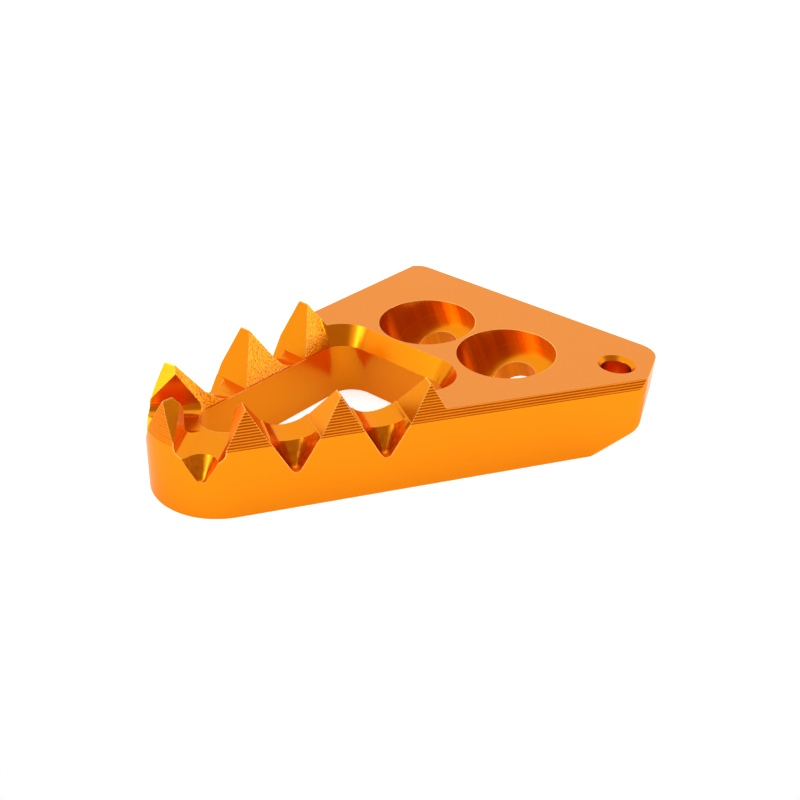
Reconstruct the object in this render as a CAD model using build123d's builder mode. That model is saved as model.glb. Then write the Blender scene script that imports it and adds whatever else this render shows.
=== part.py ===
from build123d import *
from math import acos, atan2, cos, degrees, hypot, pi, radians, sin, tan
import os

# Foot tip of a motorcycle brake pedal: a flat plate that screws to the pedal arm and, beside it,
# a toothed wall that runs round an open window and ends in a round toe.
# Millimetres and degrees. The front face looks along -Y, the toe points along -X, and the part
# stands on z = 0 with the middle of its outline over the origin.

# Plan outline
toe_radius = 9.6
rear_turn = 31.5  # from the front face to the rear wall
end_turn = 49.2  # from the front face to the end edge
reach = 53.85  # from the toe centre to the rear edge
end_cut = 10.7  # length of front face that the slanted end takes away
rear_corner_radius = 2.7
end_corner_radius = 3.8
front_corner_radius = 2.75

# Heights and leaning outer walls
plate_height = 11.6
shoulder_height = 10.1  # the outer walls lean in above this
outer_lean = 13.1

# Walls round the window, measured at its waist
front_wall = 6.95
rear_wall = 6.0
waist_height = 8.6  # the window opens out above this, and the hollows are this high
front_inner_lean = 31.0
inner_lean = 25.4
window_toe_radius = 3.4
window_corner_radius = 3.7
plate_undercut = 2.35  # how far the window reaches under the plate at the base

# Teeth: sharp wedges on a ring of metal with hollows in it
tooth_height = 15.2
ring_height = 10.3
flank_lean = 30.0
front_tooth_start = 1.75  # first front tooth, from the toe centre
front_tooth_pitch = 12.15
front_tooth_room = 8.0  # from the last front tooth to the window's sharp corner, at least
rear_tooth_start = 12.15
rear_tooth_pitch = 11.8
rear_tooth_room = 3.0
toe_tooth_turns = (206.3, 133.0)
hollow_radius = 3.45
toe_slot_width = 6.6
toe_slot_radius = 1.5

# Notches down the outer wall, one in each gap between teeth
notch_inset = 0.77  # the cutter's own axis lies this far inside the wall
notch_tip_radius = 0.75
notch_ease = 0.1  # the notch is this much narrower than the gap, on each side
notch_sweep = 3.0  # how far the cutter runs on out of the wall

# Screws: socket heads sunk square to a slanted pad under the plate
screw_tilt = 28.9
screw_pitch = 14.4
screw_hole_radius = 3.2
head_radius = 6.9
head_depth = 6.5
head_rim = 0.2  # least metal between a head's bore and the window, on the top face
screw_edge_distance = 16.3  # from the rear edge, on the top face
screw_wall_distance = 14.9  # from the rear wall to the nearer screw
pad_chamfer = 0.6
pad_land = 0.85  # flat metal between the chamfer and the pad's start

# Cable hole
cable_hole_radius = 2.15
cable_sink_radius = 2.75
cable_sink_angle = 90.0
cable_front_distance = 5.2
cable_end_distance = 4.9

# Cutters run this far past what they cut
overrun = 1.0


def facing(turn):
    return Vector(cos(radians(turn)), sin(radians(turn)), 0)


def crossing(side, inset, other, other_inset):
    """Find where two sides cross, from the toe centre, once each is moved inwards by its inset."""
    normal = facing(side[0])
    other_normal = facing(other[0])
    distance = side[1] - inset
    other_distance = other[1] - other_inset
    spread = sin(radians(other[0] - side[0]))
    return Vector(
        (distance * other_normal.Y - other_distance * normal.Y) / spread,
        (other_distance * normal.X - distance * other_normal.X) / spread,
        0,
    )


# Directions in plan: along the rear wall, and out of it
along = facing(rear_turn)
outward = facing(90 + rear_turn)
right = Vector(1, 0, 0)
up = Vector(0, 0, 1)

# Straight sides, each as the way it faces and its distance from the toe centre
front_side = (-90, toe_radius)
rear_side = (90 + rear_turn, toe_radius)
edge_side = (rear_turn, reach)
end_start = crossing(front_side, 0, edge_side, 0) - right * end_cut
end_side = (end_turn - 90, end_start.dot(facing(end_turn - 90)))

# Centres of the three corner circles, from the toe centre, and the toe centre that puts the
# middle of the whole outline over the origin
front_corner = crossing(front_side, front_corner_radius, end_side, front_corner_radius)
end_corner = crossing(end_side, end_corner_radius, edge_side, end_corner_radius)
rear_corner = crossing(edge_side, rear_corner_radius, rear_side, rear_corner_radius)
toe = Vector(
    (toe_radius - end_corner.X - end_corner_radius) / 2,
    (toe_radius - rear_corner.Y - rear_corner_radius) / 2,
    0,
)


def rounded(circles):
    """Draw the tangent outline round circles, given anticlockwise as (place from toe, radius)."""
    following = circles[1:] + circles[:1]
    turns = []
    for (centre, radius), (other, other_radius) in zip(circles, following):
        step = other - centre
        lean = acos((radius - other_radius) / hypot(step.X, step.Y))
        turns.append(degrees(atan2(step.Y, step.X) - lean))
    with BuildSketch() as shape:
        with BuildLine():
            for index, (centre, radius) in enumerate(circles):
                start = turns[index - 1]
                stop = turns[index]
                other, other_radius = following[index]
                way = facing(stop)
                CenterArc(toe + centre, radius, start, (stop - start) % 360)
                Line(toe + centre + way * radius, toe + other + way * other_radius)
        make_face()
    return shape.sketch


outline = rounded(
    [
        (Vector(0, 0, 0), toe_radius),
        (front_corner, front_corner_radius),
        (end_corner, end_corner_radius),
        (rear_corner, rear_corner_radius),
    ]
)

# The window's plate side at the waist, which leaves the rim beside the heads on the top face
window_reach = (
    reach
    - screw_edge_distance
    - head_radius / cos(radians(screw_tilt))
    - head_rim
    - (plate_height - waist_height) * tan(radians(inner_lean))
)


def window_sides(rise, undercut):
    """List the window's front, plate and rear sides at this rise above its waist."""
    spread = rise * tan(radians(inner_lean))
    front_spread = rise * tan(radians(front_inner_lean))
    return (
        (-90, toe_radius - front_wall + front_spread),
        (rear_turn, window_reach + spread + undercut),
        (90 + rear_turn, toe_radius - rear_wall + spread),
    )


def window_outline(rise, undercut):
    front, plate, back = window_sides(rise, undercut)
    spread = rise * tan(radians(inner_lean))
    end = window_toe_radius + spread
    corner = window_corner_radius + spread
    return rounded(
        [
            (crossing(back, end, front, end), end),
            (crossing(front, corner, plate, corner), corner),
            (crossing(plate, corner, back, corner), corner),
        ]
    )


def wall_plane(foot, turn):
    """Stand a plane on the outer wall, looking out of it, with its own Y upright."""
    way = facing(turn)
    return Plane(origin=toe + foot, x_dir=up.cross(way), z_dir=way)


def front_plane(distance):
    return wall_plane(right * distance + facing(-90) * toe_radius, -90)


def toe_plane(turn):
    return wall_plane(facing(turn) * toe_radius, turn)


def rear_plane(distance):
    return wall_plane(along * distance + outward * toe_radius, 90 + rear_turn)


# Teeth along the window's front and rear sides and round the toe, as planes on the outer wall
front_side_in, plate_side_in, rear_side_in = window_sides(0, 0)
front_room = crossing(front_side_in, 0, plate_side_in, 0).X - front_tooth_room
front_count = 1 + int((front_room - front_tooth_start) / front_tooth_pitch)
front_starts = [front_tooth_start + front_tooth_pitch * n for n in range(front_count)]
rear_count = 1 + int((window_reach - rear_tooth_room - rear_tooth_start) / rear_tooth_pitch)
rear_starts = [rear_tooth_start + rear_tooth_pitch * n for n in range(rear_count)]
front_teeth = [front_plane(start) for start in front_starts]
toe_teeth = [toe_plane(turn) for turn in toe_tooth_turns]
rear_teeth = [rear_plane(start) for start in rear_starts]

# Hollows between teeth, as planes on the outer wall
half_gap = front_tooth_pitch / 2
half_rear = rear_tooth_pitch / 2
toe_turn, top_turn = toe_tooth_turns
front_turn = degrees(atan2(-toe_radius, front_tooth_start)) % 360
front_hollows = [front_plane(start + half_gap) for start in front_starts[:-1]]
toe_slots = [toe_plane((toe_turn + turn) / 2) for turn in (front_turn, top_turn)]
rear_hollows = [rear_plane(start + half_rear) for start in rear_starts[:-1]]
top_line = (top_turn - 90, half_gap)
top_hollows = [
    wall_plane(crossing(top_line, 0, rear_side, 0), top_turn),
    rear_plane(rear_tooth_start - half_gap),
]

# Notches: the cutter starts inside the wall, or where it just touches both teeth, and runs out
# parallel to each of them
notch_width = half_gap - notch_ease
front_notch = crossing((toe_turn + 90, notch_width), 0, (180, notch_width - front_tooth_start), 0)
toe_notch = crossing((toe_turn - 90, notch_width), 0, (top_turn + 90, notch_width), 0)
top_notch = crossing((top_turn - 90, notch_width), 0, rear_side, notch_inset)
notches = [plane.offset(-notch_inset) for plane in front_hollows + rear_hollows + top_hollows[1:]]
notches += [wall_plane(front_notch, turn) for turn in (-90, toe_turn)]
notches += [wall_plane(toe_notch, turn) for turn in toe_tooth_turns]
notches.append(wall_plane(top_notch, top_turn))

# Outer envelope: upright to the shoulder, then leaning in on the front, the toe and the rear wall
far = reach * 2
flare = rounded(
    [
        (Vector(0, 0, 0), toe_radius),
        (right * far, toe_radius),
        (along * far, toe_radius),
    ]
)
with BuildPart() as envelope:
    with BuildSketch():
        add(flare)
    extrude(amount=shoulder_height)
    with BuildSketch(Plane.XY.offset(shoulder_height)):
        add(flare)
    extrude(amount=tooth_height - shoulder_height, taper=outer_lean)

# Window: it opens out above its waist, and reaches under the plate below it
window_rise = tooth_height - waist_height + overrun
with BuildPart() as window:
    with BuildSketch():
        add(window_outline(0, plate_undercut))
    with BuildSketch(Plane.XY.offset(waist_height)):
        add(window_outline(0, 0))
    loft(ruled=True)
    with BuildSketch(Plane.XY.offset(waist_height)):
        add(window_outline(0, 0))
    with BuildSketch(Plane.XY.offset(waist_height + window_rise)):
        add(window_outline(window_rise, 0))
    loft(ruled=True)

# Tooth section across the wall
flank_slope = tan(radians(flank_lean))
tooth_half_width = (tooth_height - ring_height) * flank_slope
with BuildSketch() as tooth:
    with BuildLine():
        Polyline(
            (0, tooth_height),
            (-tooth_half_width, ring_height),
            (tooth_half_width, ring_height),
            close=True,
        )
    make_face()

# Flat foot of a rear hollow, from a tooth's flank to the middle of the hollow on its toe side
foot_half_width = (tooth_height - waist_height) * flank_slope
with BuildSketch() as foot:
    with BuildLine():
        Polyline(
            (tooth_half_width, ring_height),
            (foot_half_width, waist_height),
            (half_rear, waist_height),
            (half_rear, ring_height),
            close=True,
        )
    make_face()

# Notch cutter: a round-nosed cone with its tip down, swept on out of the wall
notch_point = tooth_height - notch_width / flank_slope
notch_rise = tooth_height - notch_point + overrun
with BuildPart() as notch:
    with BuildSketch() as notch_section:
        with BuildLine():
            Polyline(
                (0, 0),
                (notch_rise * flank_slope, notch_rise),
                (-notch_rise * flank_slope, notch_rise),
                close=True,
            )
        make_face()
        fillet(notch_section.vertices().sort_by(Axis.Y)[0], notch_tip_radius)
    extrude(amount=notch_sweep)
    with BuildSketch():
        add(notch_section.sketch)
        with Locations((0, notch_rise / 2)):
            Rectangle(
                notch_rise * 2,
                notch_rise,
                align=(Align.MAX, Align.CENTER),
                mode=Mode.SUBTRACT,
            )
    revolve(axis=Axis.Y)

with BuildPart() as pedal_tip:
    # Plate and ring: the ring is lower, up to the teeth that end each row
    with BuildSketch():
        add(outline)
    extrude(amount=ring_height)
    last_front = front_starts[-1]
    last_rear = rear_starts[-1]
    meet = crossing((0, last_front), 0, (rear_turn, last_rear), 0)
    with BuildSketch(Plane.XY.offset(ring_height)):
        add(outline)
        with BuildLine():
            Polyline(
                toe + Vector(last_front, -far, 0),
                toe + meet,
                toe + meet + outward * far,
                toe + Vector(-far, far, 0),
                toe + Vector(-far, -far, 0),
                close=True,
            )
        make_face(mode=Mode.SUBTRACT)
    extrude(amount=plate_height - ring_height)

    # Hollows across the ring, then the teeth between them
    wall_depth = max(front_wall, rear_wall)
    for plane in front_hollows + top_hollows + rear_hollows:
        with BuildSketch(plane.offset(overrun)):
            with Locations((0, waist_height + hollow_radius)):
                Circle(hollow_radius)
        extrude(amount=-wall_depth - overrun, mode=Mode.SUBTRACT)
    for plane in rear_teeth:
        with BuildSketch(plane.offset(overrun)):
            add(foot.sketch)
        extrude(amount=-wall_depth - overrun, mode=Mode.SUBTRACT)
    for plane in front_teeth + toe_teeth + rear_teeth:
        with BuildSketch(plane.offset(overrun)):
            add(tooth.sketch)
        extrude(amount=-wall_depth - overrun)
    for plane in toe_slots:
        with BuildSketch(plane.offset(overrun)) as slot:
            with Locations((0, waist_height)):
                Rectangle(toe_slot_width, tooth_height, align=(Align.CENTER, Align.MIN))
            fillet(slot.vertices().group_by(Axis.Z)[0], toe_slot_radius)
        extrude(amount=-toe_radius - overrun, mode=Mode.SUBTRACT)
    add(envelope.part, mode=Mode.INTERSECT)
    add(window.part, mode=Mode.SUBTRACT)

    for plane in notches:
        seat = plane.origin + up * notch_point
        with Locations(Plane(origin=seat, x_dir=plane.x_dir, z_dir=plane.z_dir)):
            add(notch.part, mode=Mode.SUBTRACT)

    # Slanted pad under the plate, square to the screws
    tilt = radians(screw_tilt)
    screw_up = up * cos(tilt) - along * sin(tilt)
    screw_start = reach - screw_edge_distance
    pad_to_screw = screw_hole_radius + pad_chamfer + pad_land
    pad_start = screw_start - (pad_to_screw - plate_height * sin(tilt)) / cos(tilt)
    pad_plane = Plane(origin=toe + along * pad_start, x_dir=outward, z_dir=screw_up)
    split(bisect_by=pad_plane, keep=Keep.TOP)

    # Screw holes: the head's bore starts a radius up its axis, clear of the top face
    first_screw = (
        toe
        + along * screw_start
        + outward * (toe_radius - screw_wall_distance)
        + up * plate_height
    )
    screws = [first_screw, first_screw - outward * screw_pitch]
    with Locations(
        [Plane(origin=p + screw_up * head_radius, x_dir=outward, z_dir=screw_up) for p in screws]
    ):
        CounterBoreHole(
            radius=screw_hole_radius,
            counter_bore_radius=head_radius,
            counter_bore_depth=head_radius + head_depth,
            depth=head_radius + head_depth + plate_height,
        )
    pad = pedal_tip.faces().sort_by(Axis(origin=(0, 0, 0), direction=-screw_up))[-1]
    chamfer(pad.edges().filter_by(GeomType.CIRCLE), pad_chamfer)

    # Cable hole near the end
    cable_place = crossing(front_side, cable_front_distance, end_side, cable_end_distance)
    with Locations(toe + cable_place + up * plate_height):
        CounterSinkHole(
            radius=cable_hole_radius,
            counter_sink_radius=cable_sink_radius,
            depth=plate_height,
            counter_sink_angle=cable_sink_angle,
        )

pedal_tip.part.label = "pedal_tip"
os.makedirs("parts", exist_ok=True)
export_step(pedal_tip.part, "parts/pedal_tip.step")
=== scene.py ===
# %% [markdown]
# # Brake pedal tip
# A foot tip for a motorcycle brake pedal, milled from one block of aluminium and anodised orange.
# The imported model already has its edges, teeth and bores, so this lesson adds no piece to it. It is
# about the finish: how bare milled metal looks once it is dyed and sealed, and how to light a
# glossy thing on white.

import bpy
import numpy as np
from mathutils import Matrix, Vector

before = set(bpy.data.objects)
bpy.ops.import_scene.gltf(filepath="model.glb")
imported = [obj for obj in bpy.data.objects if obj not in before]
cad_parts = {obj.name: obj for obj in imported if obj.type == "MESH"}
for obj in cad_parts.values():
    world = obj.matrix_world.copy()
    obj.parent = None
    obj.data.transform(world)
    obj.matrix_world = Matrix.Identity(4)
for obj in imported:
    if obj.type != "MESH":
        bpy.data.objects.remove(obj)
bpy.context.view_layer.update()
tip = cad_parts["pedal_tip"]

# %% [markdown]
# ## Camera
# The photograph looks down on the tip from its toe end. The camera's turn, rise and roll are
# written as angles, and its axes are worked out from them, so that each can be read by itself.

# %% Camera
mm = 0.001
view_turn, view_rise, view_roll = np.radians([-21.33, 30.90, -3.13])
camera_place = np.array([-46.88, -127.99, 81.97]) * mm

back = np.array(
    [
        np.sin(view_turn) * np.cos(view_rise),
        -np.cos(view_turn) * np.cos(view_rise),
        np.sin(view_rise),
    ]
)
level = np.array([np.cos(view_turn), np.sin(view_turn), 0.0])
above = np.cross(back, level)
camera_right = level * np.cos(view_roll) - above * np.sin(view_roll)
camera_up = level * np.sin(view_roll) + above * np.cos(view_roll)

camera = bpy.data.objects.new("photo_camera", bpy.data.cameras.new("photo_camera"))
camera.data.sensor_width = 36
camera.data.lens = 46.67
axes = Matrix([camera_right, camera_up, back]).transposed().to_4x4()
camera.matrix_world = Matrix.Translation(Vector(camera_place)) @ axes
bpy.context.scene.collection.objects.link(camera)
bpy.context.scene.camera = camera
print("camera stands", round(float(np.linalg.norm(camera_place)), 3), "m from the part's middle")

# %% [markdown]
# ## Colours and nodes
# Colours are picked from a screen, in sRGB, and shaders want them linear, so one function turns
# them. Another adds any node at all: its options, and what goes into each socket, which is either
# a plain value or another node's output.


# %% Colours and nodes
def linear(hex_colour):
    """Turn sRGB hex into linear RGBA: below 0.04045 divide, above it take the 2.4 power."""
    srgb = np.array([int(hex_colour[i : i + 2], 16) for i in (0, 2, 4)]) / 255
    rgb = np.where(srgb <= 0.04045, srgb / 12.92, ((srgb + 0.055) / 1.055) ** 2.4)
    return (*rgb.tolist(), 1.0)


def add_node(tree, kind, inputs=None, **settings):
    """Add a node, set its options, and fill its sockets with values or with other outputs."""
    node = tree.nodes.new(kind)
    for option, value in settings.items():
        setattr(node, option, value)
    for socket, value in (inputs or {}).items():
        if isinstance(value, bpy.types.NodeSocket):
            tree.links.new(value, node.inputs[socket])
        else:
            node.inputs[socket].default_value = value
    return node


def new_material(name):
    """Make an empty node material and return it with its tree."""
    material = bpy.data.materials.new(name)
    material.use_nodes = True
    material.node_tree.nodes.clear()
    return material, material.node_tree


print("hex 808080 is", round(linear("808080")[0], 3), "when linear")

# %% [markdown]
# ## What the finish is
# The tip is milled from a block of aluminium and then anodised: a hard, clear skin of aluminium
# oxide grows on the metal and is dyed orange. What the eye gets is a metal's coloured mirror,
# softened by fine etching, with a thin clear film over it that adds a little white at a slant. It
# could be painted on as a picture, but here every part of the pattern is worked out from where a
# point lies and which way its surface faces, so it fits the cutter that made that face.

# %% Directions that the cutter used
up = np.array([0.0, 0.0, 1.0])
front = np.array([0.0, -1.0, 0.0])
rear_turn = np.radians(31.5)
screw_tilt = np.radians(28.9)
slope_lean = np.radians(25.4)
along = np.array([np.cos(rear_turn), np.sin(rear_turn), 0.0])
outward = np.array([-np.sin(rear_turn), np.cos(rear_turn), 0.0])
screw_axis = up * np.cos(screw_tilt) - along * np.sin(screw_tilt)
across_axis = np.cross(screw_axis, outward)
slope_normal = -outward * np.cos(slope_lean) + up * np.sin(slope_lean)
toe_centre = np.array([-27.05, -12.85, 0.0])
print("screw axis", screw_axis.round(3), "toe centre in mm", toe_centre)

# %% [markdown]
# ## Where a point lies and which way it faces
# A dot product with a direction tells how far a point lies that way, or how squarely a face looks
# that way. Places are first turned to millimetres, because a noise node takes no scale over 1000.
# The point's place along the screws is shrunk, which draws a pattern out along the bores.

# %% Where a point lies and which way it faces
bore_stretch = 0.03
material, tree = new_material("orange_anodised_aluminium")
coords = add_node(tree, "ShaderNodeTexCoord")
faces = coords.outputs["Normal"]
place = add_node(
    tree,
    "ShaderNodeVectorMath",
    {0: coords.outputs["Object"], "Scale": 1 / mm},
    operation="SCALE",
).outputs["Vector"]
place_xyz = add_node(tree, "ShaderNodeSeparateXYZ", {0: place})
faces_xyz = add_node(tree, "ShaderNodeSeparateXYZ", {0: faces})
height, tilt_up = place_xyz.outputs["Z"], faces_xyz.outputs["Z"]

directions = {
    "along": (place, along),
    "outward": (place, outward),
    "across_bore": (place, across_axis),
    "down_bore": (place, screw_axis * bore_stretch),
    "faces_screw": (faces, screw_axis),
    "faces_slope": (faces, slope_normal),
    "faces_front": (faces, front),
}
measured = {
    name: add_node(
        tree, "ShaderNodeVectorMath", {0: vector, 1: tuple(direction)}, operation="DOT_PRODUCT"
    ).outputs["Value"]
    for name, (vector, direction) in directions.items()
}
print("measured:", ", ".join(measured))

# %% [markdown]
# ## Masks and sums
# A mask is 1 where a mark belongs and 0 elsewhere. Each limit on it fades from 0 at its first
# number to 1 at its second, and falls where the first is the larger. The limits are multiplied, so
# the mask is full only where all of them hold. Marks are then added up, each by its own amount.


# %% Masks and sums
def where(tree, *limits, start=1.0):
    """Multiply start, a mask or a strength, by a smooth step for each (value, zero at, one at)."""
    mask = start
    for value, zero_at, one_at in limits:
        fade = add_node(
            tree,
            "ShaderNodeMapRange",
            {"Value": value, "From Min": zero_at, "From Max": one_at},
            interpolation_type="SMOOTHSTEP",
        )
        inputs = {0: mask, 1: fade.outputs["Result"]}
        mask = add_node(tree, "ShaderNodeMath", inputs, operation="MULTIPLY").outputs[0]
    return mask


def around(value, middle, slack, fade=0.03):
    """Two limits that keep a value within slack of middle, the last of it fading."""
    return (
        (value, middle - slack, middle - slack + fade),
        (value, middle + slack, middle + slack - fade),
    )


def add_up(tree, total, *shares):
    """Add to total, a number or an output, each (value, amount) as value times amount."""
    for value, amount in shares:
        inputs = {0: value, 1: amount, 2: total}
        total = add_node(tree, "ShaderNodeMath", inputs, operation="MULTIPLY_ADD").outputs[0]
    return total


print("limits around 0.5:", [limit[1:] for limit in around("value", 0.5, 0.06)])

# %% [markdown]
# ## Milled walls
# The outer walls of the plate and the teeth lean in by 13 degrees. The cutter went along them in
# level passes, which left a fine dark line between one pass and the next. The lines are drawn 0.38
# mm apart, which puts about four on the plate's rim, as in the photograph. A slow noise makes them
# waver, and another, flat one breaks them up.

# %% Milled walls
wall_lean = float(np.sin(np.radians(13.1)))
pass_step = 0.38
rim_height = 1.5
leaning = where(tree, *around(tilt_up, wall_lean, 0.06), (measured["faces_screw"], 0.10, 0.15))

waver = add_node(
    tree, "ShaderNodeTexNoise", {"Vector": place, "Scale": 1 / 6, "Detail": 2.0}
).outputs["Fac"]
passes = add_node(
    tree,
    "ShaderNodeMath",
    {0: add_up(tree, height, (waver, 0.08)), 1: pass_step},
    operation="DIVIDE",
).outputs[0]
pass_rise = add_node(tree, "ShaderNodeMath", {0: passes, 1: 0.5}, operation="PINGPONG").outputs[0]

flat_place = add_node(
    tree, "ShaderNodeVectorMath", {0: place, 1: (0.25, 0.25, 2.5)}, operation="MULTIPLY"
).outputs["Vector"]
scuff = add_node(
    tree,
    "ShaderNodeTexNoise",
    {"Vector": flat_place, "Scale": 1.0, "Detail": 3.0, "Roughness": 0.6},
).outputs["Fac"]
pass_line = where(tree, (pass_rise, 0.2, 0.0), (scuff, 0.3, 0.6), start=leaning)
print("lines on the plate's rim:", round(rim_height / pass_step, 1))

# %% [markdown]
# ## Rough-milled slope
# The slope inside the rear teeth was left rough, and glitters. Noise tilts it at random and darkens
# it in specks. The grains are drawn a quarter of a millimetre across, about a pixel and a half of
# the photograph; the real ones may be finer, but would not show.

# %% Rough-milled slope
grain_width = 0.25
waist_height = 8.6
slope_end = float(toe_centre @ along) + 25.4
slope_foot = float(toe_centre @ outward) + 2.0
rough_slope = where(
    tree,
    (measured["faces_slope"], 0.97, 0.985),
    (measured["along"], slope_end, slope_end - 0.2),
    (measured["outward"], slope_foot, slope_foot + 1.0),
    (height, waist_height, waist_height + 0.2),
)
grain = add_node(
    tree,
    "ShaderNodeTexNoise",
    {"Vector": place, "Scale": 1 / grain_width, "Detail": 2.0, "Roughness": 0.6},
).outputs["Fac"]
torn = where(tree, (grain, 0.46, 0.62), start=rough_slope)
print("slope faces", slope_normal.round(2), "with grains of", grain_width, "mm")

# %% [markdown]
# ## Streaks in the sunk bores
# A tool that plunges leaves streaks along its own axis. In the sunk screw holes they run down the
# slanted walls: one noise, read across the bore at full size and along it hardly at all.

# %% Streaks in the sunk bores
bore_streak_width = 1.6
bore_side = where(
    tree,
    *around(measured["faces_screw"], 0.0, 0.06),
    (measured["along"], -1.5, -0.5),
    (measured["along"], 17.5, 16.5),
    (measured["outward"], 6.5, 5.5),
)
bore_place = add_node(
    tree,
    "ShaderNodeCombineXYZ",
    {0: measured["outward"], 1: measured["across_bore"], 2: measured["down_bore"]},
).outputs["Vector"]
bore_noise = add_node(
    tree,
    "ShaderNodeTexNoise",
    {"Vector": bore_place, "Scale": 1 / bore_streak_width, "Detail": 3.0, "Roughness": 0.6},
).outputs["Fac"]
bore_streaks = where(tree, (bore_noise, 0.62, 0.38), start=bore_side)
print("bore streaks", bore_streak_width, "mm wide, drawn out", round(1 / bore_stretch), "times")

# %% [markdown]
# ## Streaks on the front cones
# In the notches between the front teeth the streaks run down the cones in the same way, but closer
# together. The cones' faces tilt up by 30 degrees, and only those on the front wall are marked.

# %% Streaks on the front cones
cone_streak_width = 0.5
cone_tilt = float(np.sin(np.radians(30)))
cone_side = where(
    tree,
    *around(tilt_up, cone_tilt, 0.05),
    (measured["faces_front"], 0.02, 0.08),
    (place_xyz.outputs["Y"], -19.5, -20.5),
)
cone_place = add_node(
    tree, "ShaderNodeVectorMath", {0: place, 1: (1, 1, 0.05)}, operation="MULTIPLY"
).outputs["Vector"]
cone_noise = add_node(
    tree,
    "ShaderNodeTexNoise",
    {"Vector": cone_place, "Scale": 1 / cone_streak_width, "Detail": 2.0},
).outputs["Fac"]
cone_streaks = where(tree, (cone_noise, 0.62, 0.4), start=cone_side)
print("cone streaks", cone_streak_width, "mm wide")

# %% [markdown]
# ## Edges
# Edges of milled metal are broken by a hair's breadth, and there the light catches. The bevel node
# rounds the way the surface seems to face near an edge, and the occlusion node, looking into the
# metal, finds where two outer faces meet; there a pale painted highlight is laid on the colour.

# %% Edges
edge_break, edge_reach = 0.08, 0.25
broken_edge = add_node(tree, "ShaderNodeBevel", {"Radius": edge_break * mm}, samples=4)
thin_metal = add_node(
    tree,
    "ShaderNodeAmbientOcclusion",
    {"Distance": edge_reach * mm},
    samples=6,
    inside=True,
    only_local=True,
)
# Pale painted highlight along convex edges, where two outer faces meet.
edge_painted_highlight = where(tree, (thin_metal.outputs["AO"], 0.8, 0.4), start=0.8)
print("edges broken by", edge_break, "mm, pale for", edge_reach, "mm")

# %% [markdown]
# ## Colour
# The dye is the colour of the metal's mirror. Each layer lays one shade over those before it,
# wherever its mask is: browner in the lines, specks and streaks, and paler on the flat top face,
# as a painted sheen, and on the broken edges, as a painted highlight.

# %% Colour
first_colour, second_colour, mixed_colour = 6, 7, 2  # sockets of a Mix node that mixes colours
# The flat top face is painted paler and pinker, a painted sheen as if it mirrored the white tent.
top_face_painted_sheen = where(tree, (tilt_up, 0.97, 0.99), (height, 11.2, 11.4))
layers = [
    (leaning, "E67A00"),
    (pass_line, "C05A02"),
    (add_up(tree, 0.0, (bore_streaks, 0.4), (cone_streaks, 0.5)), "B8620C"),
    (top_face_painted_sheen, "E88E3F"),
    (torn, "B87000"),
    (edge_painted_highlight, "FFD070"),
]
dye = linear("F08B00")
for mask, shade in layers:
    inputs = {0: mask, first_colour: dye, second_colour: linear(shade)}
    dye = add_node(tree, "ShaderNodeMix", inputs, data_type="RGBA").outputs[mixed_colour]
print("shades laid over the dye:", len(layers))

# %% [markdown]
# ## Gloss and relief
# An etched surface scatters its mirror a little, and the rough slope more. The real etch is only
# micrometres wide, so it is drawn 0.3 mm wide to show at all. One bump node then adds the relief of
# every mark, with heights in millimetres.

# %% Gloss and relief
etch_width = 0.3
etch = add_node(
    tree,
    "ShaderNodeTexNoise",
    {"Vector": place, "Scale": 1 / etch_width, "Detail": 4.0, "Roughness": 0.6},
).outputs["Fac"]
gloss = add_up(tree, 0.17, (etch, 0.08), (rough_slope, 0.1))
relief = add_up(tree, 0.0, (etch, 0.002))
marks = [
    (rough_slope, grain, 0.07),
    (leaning, pass_rise, 0.03),
    (bore_side, bore_noise, 0.06),
    (cone_side, cone_noise, 0.03),
]
for mask, pattern, mark_height in marks:
    mark = add_node(tree, "ShaderNodeMath", {0: mask, 1: pattern}, operation="MULTIPLY").outputs[0]
    relief = add_up(tree, relief, (mark, mark_height))
bump = add_node(
    tree,
    "ShaderNodeBump",
    {"Height": relief, "Normal": broken_edge.outputs["Normal"], "Distance": mm, "Strength": 1.0},
)
print("highest mark", max(mark[2] for mark in marks), "mm")

# %% [markdown]
# ## The metal itself
# Anodised aluminium is a metal under a clear oxide, and alumina's index is about 1.77. The shader
# is kept just short of fully metallic, and its coat is faint, because the film is very thin.

# %% Orange anodised aluminium
shader = add_node(
    tree,
    "ShaderNodeBsdfPrincipled",
    {
        "Base Color": dye,
        "Roughness": gloss,
        "Normal": bump.outputs["Normal"],
        "Metallic": 0.96,
        "Specular Tint": linear("FFE2C4"),
        "Coat Weight": 0.06,
        "Coat Roughness": 0.15,
        "Coat IOR": 1.77,
    },
)
add_node(tree, "ShaderNodeOutputMaterial", {"Surface": shader.outputs["BSDF"]})
tip.data.materials.clear()
tip.data.materials.append(material)
print("nodes in the finish:", len(tree.nodes))

# %% [markdown]
# ## Paper
# Small shiny goods are shot in a white tent on white paper, so that every face mirrors something
# white. The paper's own light carries the part's shadow, and a glow for camera rays, with a weaker
# one for mirror rays, brings it up to white. Some way in front of the part, mirror rays meet dim
# brown instead, as if they left the tent there.

# %% Paper
paper_size = 2.0
corners = np.array([[-1, -1, 0], [1, -1, 0], [1, 1, 0], [-1, 1, 0]]) * paper_size / 2
floor_mesh = bpy.data.meshes.new("floor")
floor_mesh.from_pydata(corners.tolist(), [], [(0, 1, 2, 3)])
floor = bpy.data.objects.new("floor", floor_mesh)
bpy.context.scene.collection.objects.link(floor)
print("paper", paper_size, "m square")

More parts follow.
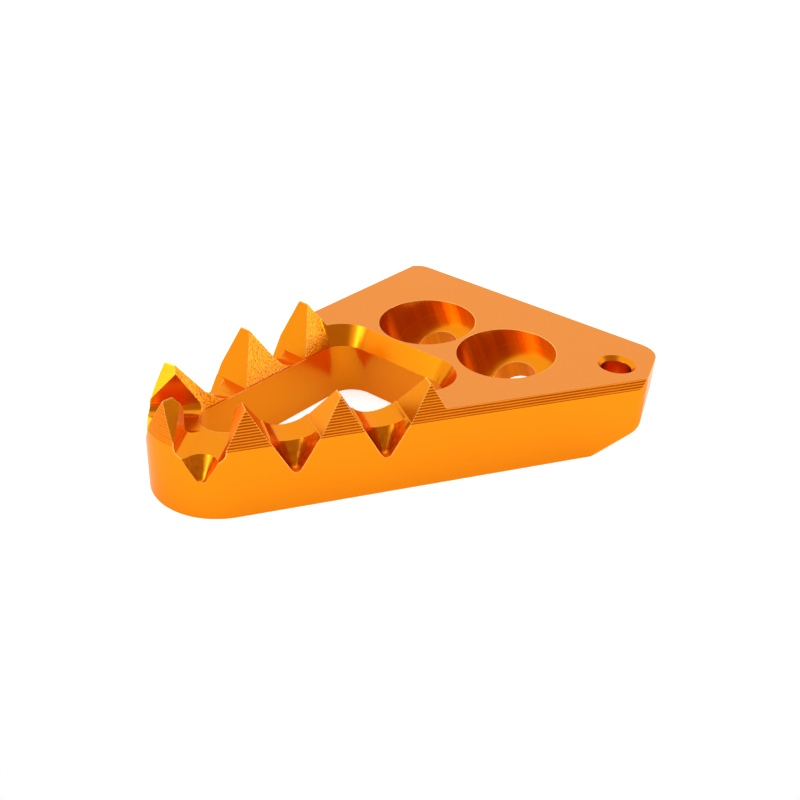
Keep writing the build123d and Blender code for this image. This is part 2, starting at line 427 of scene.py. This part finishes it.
# %% White paper
tent_floor_end, outside_start = 0.08, 0.17
paper, tree = new_material("white_paper")
rays = add_node(tree, "ShaderNodeLightPath")
spot = add_node(tree, "ShaderNodeTexCoord")
forward = add_node(
    tree,
    "ShaderNodeVectorMath",
    {0: spot.outputs["Object"], 1: (0.2, -0.98, 0.0)},
    operation="DOT_PRODUCT",
).outputs["Value"]
mirror_ray = rays.outputs["Is Glossy Ray"]
inside = where(tree, (forward, outside_start, tent_floor_end), start=mirror_ray)
outside = where(tree, (forward, tent_floor_end, outside_start), start=mirror_ray)
glow_strength = add_up(tree, 0.0, (rays.outputs["Is Camera Ray"], 0.6), (inside, 0.2))

matt = add_node(tree, "ShaderNodeBsdfDiffuse", {"Color": (0.93, 0.93, 0.93, 1)})
glow = add_node(tree, "ShaderNodeEmission", {"Strength": glow_strength, "Color": (1, 1, 1, 1)})
both = add_node(tree, "ShaderNodeAddShader", {0: matt.outputs[0], 1: glow.outputs[0]})
dim = add_node(tree, "ShaderNodeEmission", {"Color": (0.42, 0.3, 0.22, 1)})
mix = add_node(
    tree, "ShaderNodeMixShader", {0: outside, 1: both.outputs[0], 2: dim.outputs[0]}
)
add_node(tree, "ShaderNodeOutputMaterial", {"Surface": mix.outputs[0]})
floor.data.materials.append(paper)
print("mirror rays leave the tent", outside_start, "m in front")

# %% [markdown]
# ## Tent
# Only the tent's open front, where the camera looks in, is dark and brown, and faces that mirror it
# go brown. The world holds three tents in one: what the camera sees is plain white, what a mirror
# ray sees has the opening, and what lights a matt surface is even.

# %% Tent
opening, opening_edge = np.radians([38, 60])
world = bpy.data.worlds.new("light_tent")
bpy.context.scene.world = world
world.use_nodes = True
tree = world.node_tree
tree.nodes.clear()
rays = add_node(tree, "ShaderNodeLightPath")
sky = add_node(tree, "ShaderNodeTexCoord")
toward_front = add_node(
    tree,
    "ShaderNodeVectorMath",
    {0: sky.outputs["Generated"], 1: (0.19, -0.89, 0.42)},
    operation="DOT_PRODUCT",
).outputs["Value"]
darkness = where(tree, (toward_front, float(np.cos(opening_edge)), float(np.cos(opening))))
white_cloth, open_front = (1.08, 1.08, 1.08, 1), (0.44, 0.31, 0.2, 1)
inputs = {0: darkness, first_colour: white_cloth, second_colour: open_front}
cloth = add_node(tree, "ShaderNodeMix", inputs, data_type="RGBA").outputs[mixed_colour]
print("opening fades out between", np.degrees([opening, opening_edge]).round(), "degrees")

# %% What each ray sees
tent = add_node(tree, "ShaderNodeBackground", {"Color": cloth})
room = add_node(tree, "ShaderNodeBackground", {"Color": (1.1, 1.1, 1.1, 1)})
white = add_node(tree, "ShaderNodeBackground", {"Color": (1, 1, 1, 1)})
mirror_mix = add_node(
    tree,
    "ShaderNodeMixShader",
    {0: rays.outputs["Is Glossy Ray"], 1: room.outputs[0], 2: tent.outputs[0]},
)
mix = add_node(
    tree,
    "ShaderNodeMixShader",
    {0: rays.outputs["Is Camera Ray"], 1: mirror_mix.outputs[0], 2: white.outputs[0]},
)
add_node(tree, "ShaderNodeOutputWorld", {"Surface": mix.outputs[0]})
print("nodes in the tent:", len(tree.nodes))

# %% [markdown]
# ## Lamps
# Two soft boxes stand low at the sides, where the part mirrors them: the right one in the rough
# slope inside the rear teeth, the left one in the toe teeth and the sides of the cones.


# %% Lamps
def softbox(name, place, aim, size, power):
    """Hang a square soft lamp at a place and turn its face to a point; both in metres."""
    lamp = bpy.data.lights.new(name, "AREA")
    lamp.shape = "SQUARE"
    lamp.size = size
    lamp.energy = power
    box = bpy.data.objects.new(name, lamp)
    box.location = place
    box.rotation_euler = (Vector(aim) - Vector(place)).to_track_quat("-Z", "Y").to_euler()
    bpy.context.scene.collection.objects.link(box)
    print(name, "brightness", round(power / (np.pi * size**2), 2))


softbox("right_softbox", (0.67, -0.2, 0.10), (0, 0, 0), 0.28, 1.0)
softbox("left_softbox", (-0.63, -0.19, 0.23), (0, 0, 0), 0.26, 0.64)

# %% [markdown]
# ## View and finish
# The Standard view keeps each colour as it is written.

# %% View and finish
bpy.context.scene.view_settings.view_transform = "Standard"
